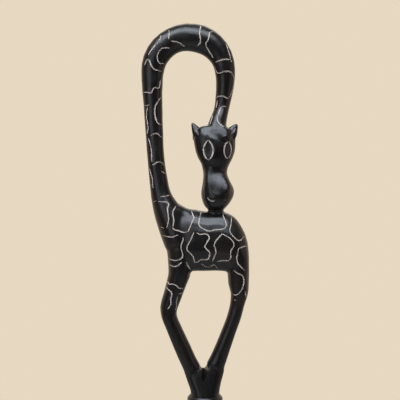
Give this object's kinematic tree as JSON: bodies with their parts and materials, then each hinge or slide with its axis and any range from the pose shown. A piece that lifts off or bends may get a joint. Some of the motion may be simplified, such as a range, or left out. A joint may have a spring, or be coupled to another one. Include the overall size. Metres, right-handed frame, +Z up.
{
  "type": "walking stick",
  "caption": "Carved black wooden walking stick whose grip is a giraffe with its neck looped over and its muzzle on its back; it unscrews into short lengths.",
  "frame": {"origin": "centre of the rubber tip's underside, on the axis of the shaft", "axes": "+Z up along the shaft to the grip; -Y is the side the giraffe's face looks to; +X is towards the giraffe's rump, and its chest is at -X"},
  "size_m": [0.092, 0.036, 0.9136],
  "materials": {
    "black_wood": "stained black and polished to a satin shine",
    "brass": "machined, slightly dulled",
    "steel": "zinc plated",
    "fibre": "matt vulcanised fibre",
    "rubber": "matt moulded"
  },
  "bodies": {
    "handle": {"giraffe_handle": "black_wood", "handle_insert": "brass"},
    "upper_washer": {"upper_joint_washer": "fibre"},
    "upper_section": {"upper_shaft": "black_wood", "upper_shaft_stud": "steel", "upper_shaft_insert": "brass"},
    "lower_washer": {"lower_joint_washer": "fibre"},
    "lower_section": {"lower_shaft": "black_wood", "lower_shaft_stud": "steel"},
    "tip": {"rubber_tip": "rubber", "tip_disc": "steel"}
  },
  "joints": [
    {"name": "upper_screw_travel", "type": "slide", "parent": "handle", "child": "upper_washer", "axis": [0, 0, -1], "range_m": [0, 0.011]},
    {"name": "upper_screw_turn", "type": "hinge", "parent": "upper_washer", "child": "upper_section", "pos_m": [0, 0, 0.5986], "axis": [0, 0, -1], "range_deg": [0, 3168.1]},
    {"name": "lower_screw_travel", "type": "slide", "parent": "upper_section", "child": "lower_washer", "axis": [0, 0, -1], "range_m": [0, 0.011]},
    {"name": "lower_screw_turn", "type": "hinge", "parent": "lower_washer", "child": "lower_section", "pos_m": [0, 0, 0.3], "axis": [0, 0, -1], "range_deg": [0, 3168.1]},
    {"name": "tip_pull", "type": "slide", "parent": "lower_section", "child": "tip", "axis": [0, 0, -1], "range_m": [0, 0.0355]}
  ],
  "couplings": [
    {"joint": "upper_screw_turn", "follows": "upper_screw_travel", "rad_per_m": 5026.5},
    {"joint": "lower_screw_turn", "follows": "lower_screw_travel", "rad_per_m": 5026.5}
  ]
}
